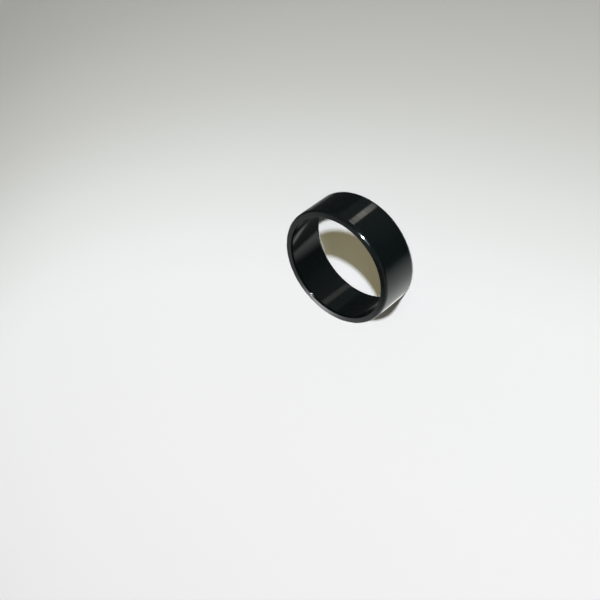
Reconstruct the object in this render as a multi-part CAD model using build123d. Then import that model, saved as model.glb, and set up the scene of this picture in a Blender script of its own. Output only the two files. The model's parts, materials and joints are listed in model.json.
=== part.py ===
from build123d import *
import os

# Spacer sleeve: one short, thin-walled ring turned from bar, with a plain
# through bore, a plain outside and two flat ends. It stands on its lower end.
# Millimetres. The axis is +Z, and the origin is the centre of the lower end.

# Driving dimensions.
bore_diameter = 30.0    # slides over a 30 mm shaft
wall = 2.0              # between the bore and the outside
length = 12.0           # the distance that the sleeve holds its neighbours apart
edge_depth = 0.4        # the edge break outside: how much it takes off each end
edge_length = 0.5       # and how far it runs along the outside
lead_depth = 0.15       # the lead-in of the bore: how much it takes off each end
lead_length = 0.65      # and how far it runs along the bore
corner_round = 0.12     # what polishing leaves on the corners of each of them
outer_blend = 1.0       # the softer round from the edge break into the outside

# Sizes that follow from them.
bore_radius = bore_diameter / 2
outer_radius = bore_radius + wall


def wall_outline():
    """The wall's cross-section in the XZ plane, as a closed outline.

    Each outer corner is cut back by the edge break, each inner one by the lead-in.
    """
    return Polyline(
        (bore_radius + lead_depth, 0),
        (outer_radius - edge_depth, 0),
        (outer_radius, edge_length),
        (outer_radius, length - edge_length),
        (outer_radius - edge_depth, length),
        (bore_radius + lead_depth, length),
        (bore_radius, length - lead_length),
        (bore_radius, lead_length),
        close=True,
    )


def spacer_sleeve():
    """The sleeve: its cross-section, with polished corners, turned about +Z."""
    with BuildPart() as sleeve:
        with BuildSketch(Plane.XZ) as section:
            with BuildLine():
                wall_outline()
            make_face()
            # The two corners on the outside get the softer round.
            fillet(section.vertices().group_by(Axis.X)[-1], radius=outer_blend)
            # The six others lie in the three innermost pairs.
            pairs = section.vertices().group_by(Axis.X)[:3]
            fillet([corner for pair in pairs for corner in pair], radius=corner_round)
        revolve(axis=Axis.Z)
    return sleeve.part


os.makedirs("parts", exist_ok=True)
export_step(spacer_sleeve(), "parts/spacer_sleeve.step")
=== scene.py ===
"""A polished black spacer sleeve, standing on its end on a pale floor.

The sleeve is one turned ring. Its skin is a surface of revolution laid over the
CAD solid, and its finish is a dyed, polished metal with faint turning marks. The
floor, whose colour carries a painted falloff of light, and the key lamp make the
setting. The polish mirrors a room of its own, painted by direction, with soft
levels all round, a bright strip, a flash and a glowing dark card.
"""
import json
import logging
import math
from dataclasses import dataclass
from enum import Enum
from typing import Any, ClassVar, Sequence

import bpy
import numpy as np
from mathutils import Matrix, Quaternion, Vector


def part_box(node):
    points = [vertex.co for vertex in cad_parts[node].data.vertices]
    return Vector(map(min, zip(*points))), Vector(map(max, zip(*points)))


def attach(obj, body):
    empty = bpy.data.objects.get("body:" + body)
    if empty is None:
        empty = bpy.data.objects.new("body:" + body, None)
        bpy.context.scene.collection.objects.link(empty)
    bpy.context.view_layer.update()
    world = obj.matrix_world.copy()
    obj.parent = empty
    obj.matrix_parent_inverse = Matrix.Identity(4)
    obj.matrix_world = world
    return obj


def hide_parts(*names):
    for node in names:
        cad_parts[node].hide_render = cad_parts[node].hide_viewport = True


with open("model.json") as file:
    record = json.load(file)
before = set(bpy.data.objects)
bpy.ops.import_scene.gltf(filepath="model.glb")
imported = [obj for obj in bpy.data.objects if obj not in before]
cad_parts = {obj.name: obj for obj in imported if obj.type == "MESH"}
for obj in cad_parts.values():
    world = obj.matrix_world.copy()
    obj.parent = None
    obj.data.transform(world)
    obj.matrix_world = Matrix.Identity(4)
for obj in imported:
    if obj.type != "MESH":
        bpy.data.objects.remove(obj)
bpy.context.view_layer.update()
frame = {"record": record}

MM = 0.001
FULL_TURN = 360.0
NODE = "spacer_sleeve"

Colour = tuple[float, float, float]
Span = tuple[float, float]
Stops = tuple[tuple[float, float], ...]
Socket = bpy.types.NodeSocket
Value = float | Socket
Hue = Colour | Socket
log = logging.getLogger("sleeve")


class Rays(Enum):
    """Which rays meet a piece of studio equipment."""

    REFLECTIONS = "reflections"
    NO_REFLECTIONS = "no reflections"
    SHADOWS = "shadows"


def limit_rays(thing: bpy.types.Object, rays: Rays) -> None:
    """Lets only some kinds of ray meet an object.

    Args:
        thing: The object.
        rays: The rays that meet it.
    """
    if rays is Rays.REFLECTIONS:
        thing.visible_camera = False
        thing.visible_diffuse = False
        thing.visible_shadow = False
    elif rays is Rays.SHADOWS:
        thing.visible_camera = False
        thing.visible_diffuse = False
        thing.visible_glossy = False
    else:
        thing.visible_glossy = False


def compass(azimuth: float, height: float) -> Vector:
    """The direction towards a place in the room.

    Args:
        azimuth: Degrees round the sleeve, from the side that faces the front.
        height: Degrees above the floor.

    Returns:
        The unit vector.
    """
    turn, rise = math.radians(azimuth), math.radians(height)
    return Vector((math.sin(turn) * math.cos(rise), -math.cos(turn) * math.cos(rise),
                   math.sin(rise)))


class Graph:
    """A short way to write a node tree."""

    def __init__(self, tree: bpy.types.NodeTree) -> None:
        """Empties the node tree of a material or a world."""
        self.tree = tree
        tree.nodes.clear()

    def add(self, kind: str, inputs: dict[str | int, Any] | None = None,
            **settings: Any) -> bpy.types.Node:
        """Adds a node.

        Args:
            kind: The node's type without its ShaderNode prefix.
            inputs: A value or a socket to link, for each input by name or index.
            **settings: Properties of the node.

        Returns:
            The new node.
        """
        node = self.tree.nodes.new("ShaderNode" + kind)
        for name, value in settings.items():
            setattr(node, name, value)
        for name, value in (inputs or {}).items():
            if isinstance(value, Socket):
                self.tree.links.new(value, node.inputs[name])
            else:
                node.inputs[name].default_value = value
        return node

    def math(self, operation: str, *values: Value) -> Socket:
        """Adds a Math node for an operation, such as ADD."""
        return self.add("Math", dict(enumerate(values)), operation=operation).outputs[0]

    def product(self, first: Value, second: Value, *others: Value) -> Socket:
        """Multiplies two numbers or sockets, and then any others.

        Args:
            first: A factor.
            second: A factor.
            *others: More factors.

        Returns:
            The product's socket.
        """
        result = self.math("MULTIPLY", first, second)
        for other in others:
            result = self.math("MULTIPLY", result, other)
        return result

    def step(self, value: Value, start: float, end: float, low: float = 0.0,
             high: float = 1.0) -> Socket:
        """Adds a smooth step from one level to another.

        Args:
            value: What it reads.
            start: Where the step starts.
            end: Where it ends.
            low: The level before it.
            high: The level after it.

        Returns:
            The level's socket.
        """
        node = self.add("MapRange", {"Value": value, "From Min": start, "From Max": end,
                                     "To Min": low, "To Max": high},
                        interpolation_type="SMOOTHSTEP")
        return node.outputs[0]

    def window(self, value: Value, opens: Span, closes: Span) -> Socket:
        """Adds a smooth window, which rises to 1 over opens and falls back to 0 over closes."""
        return self.product(self.step(value, *opens), self.step(value, closes[1], closes[0]))

    def bell(self, value: Value, centre: float, width: float) -> Socket:
        """Adds a bell curve: e to the power of minus the squared distance in widths."""
        away = self.math("DIVIDE", self.math("SUBTRACT", value, centre), width)
        return self.math("EXPONENT", self.product(away, away, -1.0))

    def levels(self, value: Value, stops: Stops, span: float) -> Socket:
        """Adds a grey Color Ramp whose levels may pass 1.

        Args:
            value: What it reads, from 0 to the span.
            stops: Each stop's place and level, in order.
            span: The place at the ramp's end.

        Returns:
            The level's socket.
        """
        node = self.add("ValToRGB", {"Fac": self.math("DIVIDE", value, span)})
        top = max(level for _, level in stops)
        fill_ramp(node.color_ramp, [(place / span, (level / top,) * 3) for place, level in stops])
        return self.product(node.outputs["Color"], top)

    def mix(self, share: Value, first: Hue, second: Hue) -> Socket:
        """Adds a Mix node for colours.

        Args:
            share: How much of the second colour shows.
            first: A colour or its socket.
            second: A colour or its socket.

        Returns:
            The mixed colour's socket.
        """
        def whole(value: Hue) -> tuple[float, ...] | Socket:
            """Makes a colour opaque, and leaves a socket as it is."""
            return (*value, 1.0) if isinstance(value, tuple) else value

        node = self.add("Mix", {0: share, 6: whole(first), 7: whole(second)}, data_type="RGBA")
        return node.outputs[2]

    def lit(self, colour: Hue, level: Value) -> Socket:
        """Multiplies a colour, or its socket, by a level."""
        return self.add("VectorMath", {0: colour, "Scale": level}, operation="SCALE").outputs[0]


def fill_ramp(ramp: bpy.types.ColorRamp, stops: Sequence[tuple[float, Colour]]) -> None:
    """Sets a colour ramp's stops.

    Args:
        ramp: The ramp.
        stops: Each stop's place and colour, in order.
    """
    while len(ramp.elements) < len(stops):
        ramp.elements.new(1.0)
    for element, (place, colour) in zip(ramp.elements, stops):
        element.position = place
        element.color = (*colour, 1.0)


def flat_object(name: str, points: np.ndarray, material: bpy.types.Material) -> bpy.types.Object:
    """Makes one flat face and puts it in the scene.

    Args:
        name: The object's name.
        points: Its corners, in order, as rows of (x, y, z).
        material: Its material.

    Returns:
        The object.
    """
    mesh = bpy.data.meshes.new(name)
    mesh.from_pydata(points, [], [range(len(points))])
    mesh.materials.append(material)
    made = bpy.data.objects.new(name, mesh)
    bpy.context.scene.collection.objects.link(made)
    return made


@dataclass(frozen=True)
class BlackSkin:
    """The sleeve's finish: turned, polished metal under a black dye."""

    colour: Colour = (0.0023, 0.0045, 0.0046)
    roughness: float = 0.08
    specular: float = 0.55
    mark_spacing: float = 1.15 * MM
    mark_height: float = 4.0e-6
    mark_roughness: float = 0.018
    mark_noise: Span = (0.3, 0.7)

    def material(self) -> bpy.types.Material:
        """Makes the finish's material.

        Returns:
            The material, which reads the piece's UV map in metres.
        """
        made = bpy.data.materials.new("black_skin")
        made.use_nodes = True
        g = Graph(made.node_tree)
        uv = g.add("UVMap", uv_map=Sleeve.UV_NAME).outputs["UV"]
        along = g.add("SeparateXYZ", {0: uv}).outputs["Y"]
        lines = g.add("CombineXYZ", {"X": g.math("DIVIDE", along, self.mark_spacing)}).outputs[0]
        marks = g.add("TexNoise", {"Vector": lines, "Scale": 1.0, "Detail": 1.0,
                                   "Roughness": 0.6}).outputs["Fac"]
        faint, strong = self.mark_noise
        dulled = g.add("MapRange", {"Value": marks, "From Min": faint, "From Max": strong,
                                    "To Min": self.roughness - self.mark_roughness,
                                    "To Max": self.roughness + self.mark_roughness}).outputs[0]
        bump = g.add("Bump", {"Height": marks, "Distance": self.mark_height, "Strength": 1.0})
        skin = g.add("BsdfPrincipled", {
            "Base Color": (*self.colour, 1.0),
            "Roughness": dulled,
            "Specular IOR Level": self.specular,
            "Normal": bump.outputs["Normal"],
        })
        g.add("OutputMaterial", {"Surface": skin.outputs[0]})
        return made


@dataclass
class Sleeve:
    """The sleeve's skin: its wall's outline turned once about the axis."""

    UV_NAME: ClassVar[str] = "turned"

    outer_radius: float
    bore_radius: float
    length: float
    outer_break: tuple[float, float] = (0.4 * MM, 0.5 * MM)
    bore_break: tuple[float, float] = (0.15 * MM, 0.65 * MM)
    end_round: float = 0.12 * MM
    outer_blend: float = 1.0 * MM
    bore_blend: float = 0.12 * MM
    arc_steps: int = 9
    side_steps: int = 4
    turns: int = 512
    finish: BlackSkin = BlackSkin()

    @classmethod
    def from_frame(cls) -> "Sleeve":
        """Takes the main sizes from the CAD node's box and the record's bore.

        Returns:
            The sleeve.
        """
        low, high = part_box(NODE)
        bore = next(m for m in frame["record"]["mounts"] if m["kind"] == "bore")
        return cls(outer_radius=high[0], bore_radius=bore["dims"]["r_mm"] * MM,
                   length=high[2] - low[2])

    def corners(self) -> tuple[np.ndarray, np.ndarray]:
        """The sharp corners of the wall's outline and the round on each.

        Returns:
            Eight (radius, height) rows, anticlockwise, seen with the axis to the
            left, and their eight rounds.
        """
        inner, outer, top = self.bore_radius, self.outer_radius, self.length
        cut, rise = self.outer_break
        lead, dip = self.bore_break
        places = np.array([
            (inner + lead, 0.0), (outer - cut, 0.0), (outer, rise), (outer, top - rise),
            (outer - cut, top), (inner + lead, top), (inner, top - dip), (inner, dip),
        ])
        end, wall, bore = self.end_round, self.outer_blend, self.bore_blend
        return places, np.array([end, end, wall, wall, end, end, bore, bore])

    def outline(self) -> tuple[np.ndarray, np.ndarray]:
        """The outline with its rounds, and its outward normals.

        A round of radius q on a corner that turns by the angle a starts
        q tan(a / 2) before the corner and ends as far after it. Its centre lies
        q inside the side that it leaves.

        Returns:
            The points and the normals, as rows of (radius, height).
        """
        corner, q = self.corners()
        q = q[:, None]
        along = np.roll(corner, -1, axis=0) - corner
        along /= np.linalg.norm(along, axis=1, keepdims=True)
        before = np.roll(along, 1, axis=0)
        turn = np.arccos(np.clip((before * along).sum(axis=1), -1.0, 1.0))[:, None]
        out = np.stack([before[:, 1], -before[:, 0]], axis=1)
        start = corner - before * q * np.tan(turn / 2)
        centre = start - out * q
        angle = (turn * np.linspace(0.0, 1.0, self.arc_steps))[..., None]
        arc_normal = out[:, None, :] * np.cos(angle) + before[:, None, :] * np.sin(angle)
        arc = centre[:, None, :] + q[..., None] * arc_normal
        share = np.linspace(0.0, 1.0, self.side_steps + 2)[1:-1, None]
        first, last = arc[:, -1, None, :], np.roll(start, -1, axis=0)[:, None, :]
        side = first + (last - first) * share
        side_normal = np.repeat(arc_normal[:, -1:, :], self.side_steps, axis=1)
        points = np.concatenate([arc, side], axis=1).reshape(-1, 2)
        normals = np.concatenate([arc_normal, side_normal], axis=1).reshape(-1, 2)
        return points, normals

    def build(self) -> bpy.types.Object:
        """Turns the outline about the axis and makes the piece.

        The point at the outline's (r, z) and the angle t is
        (r cos t, r sin t, z), and its normal turns in the same way.

        Returns:
            The piece, with exact normals and a UV map in metres.
        """
        points, normals = self.outline()
        rows, turns = len(points), self.turns
        angle = np.linspace(0.0, 2 * np.pi, turns, endpoint=False)
        spin = np.stack([np.cos(angle), np.sin(angle)], axis=1)

        def turned(pairs: np.ndarray) -> np.ndarray:
            """Turns pairs about the axis.

            Args:
                pairs: Rows of (radius, height).

            Returns:
                Rows of (x, y, z), each pair's in turn, at each angle.
            """
            flat = pairs[:, None, :1] * spin[None, :, :]
            high = np.broadcast_to(pairs[:, None, 1:], (rows, turns, 1))
            return np.concatenate([flat, high], axis=2).reshape(-1, 3)

        row, column = np.meshgrid(np.arange(rows), np.arange(turns), indexing="ij")
        next_row, next_column = (row + 1) % rows, (column + 1) % turns
        faces = np.stack([row * turns + column, row * turns + next_column,
                          next_row * turns + next_column, next_row * turns + column],
                         axis=2).reshape(-1, 4)
        mesh = bpy.data.meshes.new("sleeve_skin")
        mesh.from_pydata(turned(points), [], faces)
        mesh.polygons.foreach_set("use_smooth", np.ones(len(faces), dtype=bool))
        self.unwrap(mesh, points, row, column)
        mesh.normals_split_custom_set_from_vertices(turned(normals))
        mesh.update()
        piece = bpy.data.objects.new("sleeve_skin", mesh)
        bpy.context.scene.collection.objects.link(piece)
        piece.data.materials.append(self.finish.material())
        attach(piece, "root")
        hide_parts(NODE)
        return piece

    def unwrap(self, mesh: bpy.types.Mesh, points: np.ndarray,
               row: np.ndarray, column: np.ndarray) -> None:
        """Writes the UV map: round the sleeve in U, along the outline in V.

        Args:
            mesh: The turned mesh.
            points: The outline's points.
            row: Each face's row.
            column: Each face's column.
        """
        step = np.linalg.norm(np.roll(points, -1, axis=0) - points, axis=1)
        travelled = np.concatenate([[0.0], np.cumsum(step)])
        round_step = 2 * np.pi * self.outer_radius / self.turns
        u, v = column * round_step, travelled[row]
        u_next, v_next = u + round_step, travelled[row + 1]
        loops = np.stack([u, v, u_next, v, u_next, v_next, u, v_next], axis=2)
        layer = mesh.uv_layers.new(name=self.UV_NAME)
        layer.data.foreach_set("uv", loops.astype(np.float32).ravel())


@dataclass(frozen=True)
class Strip:
    """A bright strip, low in the room, which leans as it rises and glows at its foot."""

    opens: Span = (33.4, 37.2)
    closes: Span = (45.7, 48.2)
    foot: float = -41.5
    lean: float = 1.1
    level: float = 0.39
    foot_level: float = 3.05
    foot_width: float = 0.5
    colour: Colour = (1.04, 0.99, 0.92)

    def paint(self, g: Graph, side: Socket, rise: Socket) -> Socket:
        """Adds the strip, which moves to the side by its lean for each degree of rise.

        Args:
            g: The room's graph.
            side: The ray's side in degrees.
            rise: The ray's rise in degrees.

        Returns:
            The socket of its colour.
        """
        moved = g.product(g.math("SUBTRACT", rise, self.foot), self.lean)
        shape = g.window(g.math("SUBTRACT", side, moved), self.opens, self.closes)
        glow = g.product(g.bell(rise, self.foot, self.foot_width), self.foot_level)
        return g.lit(self.colour, g.product(shape, g.math("ADD", glow, self.level)))


@dataclass(frozen=True)
class Room:
    """The room that only the polish mirrors, painted by direction.

    A side is an angle round the sleeve in degrees, from +X by way of the front, -Y.
    A rise is an angle above the floor in degrees. A stop holds a side and its level.
    """

    low_stops: Stops = (
        (0, 0.04), (10, 0.05), (16, 0.12), (60, 0.12), (98, 0.08), (115, 0.05), (146, 0.04),
        (150, 0.12), (155, 0.25), (163, 0.46), (173, 0.64), (183, 0.77), (204, 0.98),
        (215, 1.02), (238, 0.84), (249, 1.15), (256, 1.7), (262, 1.65), (267, 0.95),
        (274, 0.33), (288, 0.28), (300, 0.2), (311, 0.04))
    low_tints: tuple[Colour, Colour] = ((0.96, 1.04, 1.01), (1.0, 1.01, 0.98))
    tint_sides: Span = (190.0, 245.0)
    corner_opens: Span = (250.0, 258.0)
    corner_closes: Span = (282.0, 294.0)
    corner_rises: Span = (-39.7, -38.9)
    corner_depth: float = 0.85
    high_stops: Stops = (
        (0, 0.1), (60, 0.1), (110, 0.15), (152, 0.3), (176, 0.4), (196, 0.5), (220, 0.55),
        (250, 0.72), (269.8, 0.72), (271.2, 0.48), (290, 0.48), (312, 0.1))
    screen_stops: Stops = (
        (240, 0.0), (268.5, 0.0), (270.0, 0.18), (270.8, 0.38), (271.8, 0.2), (273.0, 0.12),
        (290, 0.1))
    screen_opens: Span = (200.0, 240.0)
    screen_closes: Span = (285.0, 300.0)
    screen_edge: Span = (266.0, 39.25)
    screen_climb: float = 0.1
    screen_blur: Span = (-0.5, 0.4)
    spot: Span = (268.7, 36.5)
    spot_size: Span = (1.0, 1.2)
    spot_level: float = 6.3
    horizon: Span = (0.0, 0.1)
    strip: Strip = Strip()

    def low(self, g: Graph, side: Socket, rise: Socket) -> Socket:
        """Adds the lower half: tinted levels, a dark corner and the strip.

        Args:
            g: The room's graph.
            side: The ray's side in degrees.
            rise: The ray's rise in degrees.

        Returns:
            The socket of its colour.
        """
        corner = g.product(g.window(side, self.corner_opens, self.corner_closes),
                           g.step(rise, *self.corner_rises))
        kept = g.math("SUBTRACT", 1.0, g.product(corner, self.corner_depth))
        level = g.product(g.levels(side, self.low_stops, FULL_TURN), kept)
        tint = g.mix(g.step(side, *self.tint_sides), *self.low_tints)
        return g.add("VectorMath", {0: g.lit(tint, level), 1: self.strip.paint(g, side, rise)},
                     operation="ADD").outputs[0]

    def high(self, g: Graph, side: Socket, rise: Socket) -> Socket:
        """Adds the upper half: levels, a dark screen high up and a spot under its edge.

        The screen's lower edge climbs evenly with the side.

        Args:
            g: The room's graph.
            side: The ray's side in degrees.
            rise: The ray's rise in degrees.

        Returns:
            The socket of its level.
        """
        edge_side, edge_rise = self.screen_edge
        edge = g.math("ADD", g.product(side, self.screen_climb),
                      edge_rise - self.screen_climb * edge_side)
        screened = g.product(g.window(side, self.screen_opens, self.screen_closes),
                             g.step(g.math("SUBTRACT", rise, edge), *self.screen_blur))
        level = g.add("MapRange", {"Value": screened,
                                   "To Min": g.levels(side, self.high_stops, FULL_TURN),
                                   "To Max": g.levels(side, self.screen_stops, FULL_TURN)}).outputs[0]
        spot = g.product(g.bell(side, self.spot[0], self.spot_size[0]),
                         g.bell(rise, self.spot[1], self.spot_size[1]), self.spot_level)
        return g.math("ADD", level, spot)

    def paint(self, g: Graph) -> Socket:
        """Adds the whole room.

        Args:
            g: The world's graph.

        Returns:
            The socket of the colour that a reflected ray meets.
        """
        x, y, z = g.add("SeparateXYZ", {0: g.add("TexCoord").outputs["Generated"]}).outputs
        turn = g.math("DIVIDE", g.math("ARCTAN2", g.product(y, -1.0), x), 2 * math.pi)
        side = g.product(g.math("FRACT", g.math("ADD", turn, 1.0)), FULL_TURN)
        rise = g.product(g.math("ARCSINE", z), 180 / math.pi)
        return g.mix(g.step(z, *self.horizon), self.low(g, side, rise), self.high(g, side, rise))


@dataclass(frozen=True)
class Lamp:
    """A round lamp that faces the sleeve. Its azimuth and height are in degrees."""

    name: str
    azimuth: float
    height: float
    distance: float
    diameter: float
    colour: Colour
    rays: Rays
    radiance: float | None = None

    def towards(self) -> Vector:
        """The direction in which it hangs."""
        return compass(self.azimuth, self.height)

    def brightness(self) -> float:
        """Its radiance, or the one at which a white floor shows the lamp's own colour.

        A disc of the radius s and the radiance L, at the distance d and the height
        h, gives the floor pi L (s / d) squared sin h.

        Returns:
            The radiance.
        """
        if self.radiance is not None:
            return self.radiance
        spread = (self.diameter / 2 / self.distance) ** 2
        return 1 / (spread * math.sin(math.radians(self.height)))

    def hang(self) -> bpy.types.Object:
        """Hangs the lamp.

        A disc of the radius s and the radiance L gives off pi squared s squared L.

        Returns:
            The lamp.
        """
        data = bpy.data.lights.new(self.name, "AREA")
        data.shape = "DISK"
        data.size = self.diameter
        data.color = self.colour
        data.energy = self.brightness() * (math.pi * self.diameter / 2) ** 2
        hung = bpy.data.objects.new(self.name, data)
        hung.location = self.towards() * self.distance
        hung.rotation_mode = "QUATERNION"
        hung.rotation_quaternion = (-self.towards()).to_track_quat("-Z", "Y")
        bpy.context.scene.collection.objects.link(hung)
        limit_rays(hung, self.rays)
        return hung


@dataclass(frozen=True)
class Floor:
    """A round paper floor whose colour darkens gently away from one place: a painted falloff of
    light.
    """

    radius: float = 2.0
    drop: float = 0.01 * MM
    steps: int = 128
    bright_place: tuple[float, float, float] = (-0.372, 0.240, 0.0)
    # Painted falloff of light: the paper's colour at each distance from the bright place.
    painted_falloff: tuple[tuple[float, Colour], ...] = (
        (0.36, (0.905, 0.905, 0.908)), (0.43, (0.882, 0.888, 0.888)),
        (0.445, (0.845, 0.857, 0.851)), (0.465, (0.742, 0.756, 0.737)),
        (0.49, (0.56, 0.566, 0.535)), (0.515, (0.42, 0.42, 0.40)),
        (0.53, (0.36, 0.36, 0.34)))

    def material(self) -> bpy.types.Material:
        """Makes the paper, whose colour follows the distance from the bright place, as a painted
        falloff of light.

        Returns:
            The material.
        """
        made = bpy.data.materials.new("floor")
        made.use_nodes = True
        g = Graph(made.node_tree)
        away = g.add("VectorMath", {0: g.add("TexCoord").outputs["Object"],
                                    1: self.bright_place}, operation="DISTANCE").outputs["Value"]
        near, far = self.painted_falloff[0][0], self.painted_falloff[-1][0]
        share = g.add("MapRange", {"Value": away, "From Min": near, "From Max": far}).outputs[0]
        ramp = g.add("ValToRGB", {"Fac": share})
        fill_ramp(ramp.color_ramp, [((distance - near) / (far - near), colour)
                                    for distance, colour in self.painted_falloff])
        paper = g.add("BsdfDiffuse", {"Color": ramp.outputs["Color"]})
        g.add("OutputMaterial", {"Surface": paper.outputs[0]})
        return made

    def lay(self) -> None:
        """Lays the floor a hair below the sleeve, out of reflections' sight."""
        angle = np.linspace(0.0, 2 * np.pi, self.steps, endpoint=False)
        rim = np.stack([self.radius * np.cos(angle), self.radius * np.sin(angle),
                        np.full_like(angle, -self.drop)], axis=1)
        floor = flat_object("floor", rim, self.material())
        limit_rays(floor, Rays.NO_REFLECTIONS)


@dataclass(frozen=True)
class Card:
    """A glowing dark card under the floor, which only the polish mirrors: a painted reflection in the
    bore.

    Its lengths are in millimetres. It is pale at its rim and carries a soft streak.
    """

    x: float = -11.0
    outline: tuple[Span, ...] = ((7, -2), (120, -2), (120, -110), (50, -110), (10, -20))
    rim: Span = (5.4, 8.3)
    rim_lean: float = 0.27
    rim_level: float = 0.6
    inner_level: float = 0.08
    streak_place: Span = (18.0, -9.5)
    streak_slope: float = 0.92
    streak_width: float = 1.4
    streak_opens: Span = (12.0, 17.0)
    streak_closes: Span = (20.0, 38.0)
    streak_level: float = 0.75

    def material(self) -> bpy.types.Material:
        """Makes the card's glow, worked out from the place on it.

        The rim is where y plus the lean times z is small. The streak follows the
        line through its place that falls by its slope.

        Returns:
            The material.
        """
        made = bpy.data.materials.new("dark_card")
        made.use_nodes = True
        g = Graph(made.node_tree)
        place = g.add("SeparateXYZ", {0: g.add("TexCoord").outputs["Object"]})
        y = g.product(place.outputs["Y"], 1 / MM)
        z = g.product(place.outputs["Z"], 1 / MM)
        # Painted reflection: the card's glow, a pale rim and a soft streak that the bore mirrors.
        level = g.step(g.math("ADD", y, g.product(z, self.rim_lean)), *self.rim,
                       self.rim_level, self.inner_level)
        along, high = self.streak_place
        above = g.math("ADD", g.math("ADD", z, g.product(y, self.streak_slope)),
                       -high - self.streak_slope * along)
        streak = g.product(g.bell(above, 0.0, self.streak_width),
                           g.window(y, self.streak_opens, self.streak_closes))
        level = g.math("ADD", level, g.product(streak, self.streak_level))
        glow = g.add("Emission", {"Color": (1.0, 1.0, 1.0, 1.0), "Strength": level})
        g.add("OutputMaterial", {"Surface": glow.outputs[0]})
        return made

    def stand(self) -> None:
        """Stands the card under the floor."""
        places = np.array([(self.x, y, z) for y, z in self.outline])
        card = flat_object("dark_card", places * MM, self.material())
        limit_rays(card, Rays.REFLECTIONS)


@dataclass(frozen=True)
class Arc:
    """An arc round a place on the floor, in millimetres and degrees."""

    x: float
    y: float
    radius: float
    start: float
    end: float
    steps: int = 48

    def points(self) -> np.ndarray:
        """Its points, evenly spaced from the start to the end.

        Returns:
            Rows of (x, y, 0) in metres.
        """
        angle = np.radians(np.linspace(self.start, self.end, self.steps))
        return MM * np.stack([self.x + self.radius * np.cos(angle),
                              self.y + self.radius * np.sin(angle),
                              np.zeros_like(angle)], axis=1)


@dataclass(frozen=True)
class Gel:
    """A crescent of tinted gel, which casts a soft tinted shade in the bore."""

    colour: Colour = (0.160, 0.136, 0.058)
    height: float = 20 * MM
    inner: Arc = Arc(x=-8.7, y=22.0, radius=15.0, start=-28.0, end=-110.0)
    outer: Arc = Arc(x=-8.7, y=13.3, radius=19.2, start=-107.0, end=-5.0)

    def hang(self, towards: Vector) -> None:
        """Hangs the gel where its shade falls on the crescent between its two arcs.

        Args:
            towards: The direction of the lamp that it shades.
        """
        lift = np.array(towards)
        outline = np.concatenate([self.inner.points(), self.outer.points()])
        outline += lift * (self.height / lift[2])
        made = bpy.data.materials.new("gel")
        made.use_nodes = True
        g = Graph(made.node_tree)
        clear = g.add("BsdfTransparent", {"Color": (*self.colour, 1.0)})
        g.add("OutputMaterial", {"Surface": clear.outputs[0]})
        sheet = flat_object("gel", outline, made)
        limit_rays(sheet, Rays.SHADOWS)


@dataclass(frozen=True)
class Studio:
    """The floor, the lamps and what the polished skin mirrors."""

    fill_colour: Colour = (0.130, 0.122, 0.100)
    backdrop_colour: Colour = (0.90, 0.90, 0.90)
    key: Lamp = Lamp(name="key", azimuth=16.0, height=51.0, distance=8.0, diameter=0.533,
                     colour=(0.870, 0.878, 0.900), rays=Rays.NO_REFLECTIONS)
    flash: Lamp = Lamp(name="flash", azimuth=14.0, height=38.0, distance=1.5, diameter=0.10,
                       colour=(0.95, 0.98, 1.0), rays=Rays.REFLECTIONS, radiance=1800.0)
    glow: Lamp = Lamp(name="flash_glow", azimuth=9.0, height=38.0, distance=1.51, diameter=0.6,
                      colour=(0.5, 0.9, 1.0), rays=Rays.REFLECTIONS, radiance=2.5)
    floor: Floor = Floor()
    gel: Gel = Gel()
    room: Room = Room()
    card: Card = Card()

    def world(self) -> None:
        """Makes the soft fill, the backdrop, and the room that the polish mirrors."""
        world = bpy.data.worlds.new("studio")
        world.use_nodes = True
        g = Graph(world.node_tree)
        path = g.add("LightPath")
        seen = g.mix(path.outputs["Is Camera Ray"], self.fill_colour, self.backdrop_colour)
        soft = g.add("Background", {"Color": seen, "Strength": 1.0})
        mirrored = g.add("Background", {"Color": self.room.paint(g), "Strength": 1.0})
        both = g.add("MixShader", {0: path.outputs["Is Glossy Ray"], 1: soft.outputs[0],
                                   2: mirrored.outputs[0]})
        g.add("OutputWorld", {"Surface": both.outputs[0]})
        bpy.context.scene.world = world

    def build(self) -> None:
        """Sets up the whole studio."""
        self.gel.hang(self.key.towards())
        self.floor.lay()
        for lamp in (self.key, self.flash, self.glow):
            lamp.hang()
        self.world()
        self.card.stand()


@dataclass
class Viewpoint:
    """The camera: in front and above, rolled so that the bore's axis runs slantwise."""

    distance_out: float = 220.7 * MM
    height: float = 188.13 * MM
    aim_side: float = -1.16 * MM
    aim_beyond: float = 20.83 * MM
    roll: float = -127.36
    lens: float = 63.94

    def build(self, top: float) -> bpy.types.Object:
        """Makes the camera.

        Args:
            top: The height of the sleeve's upper end.

        Returns:
            The camera.
        """
        data = bpy.data.cameras.new("camera")
        data.lens = self.lens
        camera = bpy.data.objects.new("camera", data)
        camera.location = (0.0, -self.distance_out, self.height)
        sight = Vector((self.aim_side, self.aim_beyond, top)) - camera.location
        camera.rotation_mode = "QUATERNION"
        camera.rotation_quaternion = (sight.to_track_quat("-Z", "Y")
                                      @ Quaternion((0, 0, 1), math.radians(self.roll)))
        bpy.context.scene.collection.objects.link(camera)
        bpy.context.scene.camera = camera
        return camera


def main() -> None:
    """Builds the sleeve, the studio and the camera."""
    logging.basicConfig(level=logging.INFO, format="%(name)s: %(message)s")
    bpy.context.scene.view_settings.view_transform = "Standard"
    sleeve = Sleeve.from_frame()
    piece = sleeve.build()
    log.info("%s has %d faces", piece.name, len(piece.data.polygons))
    Studio().build()
    Viewpoint().build(sleeve.length)


if __name__ == "__main__":
    main()
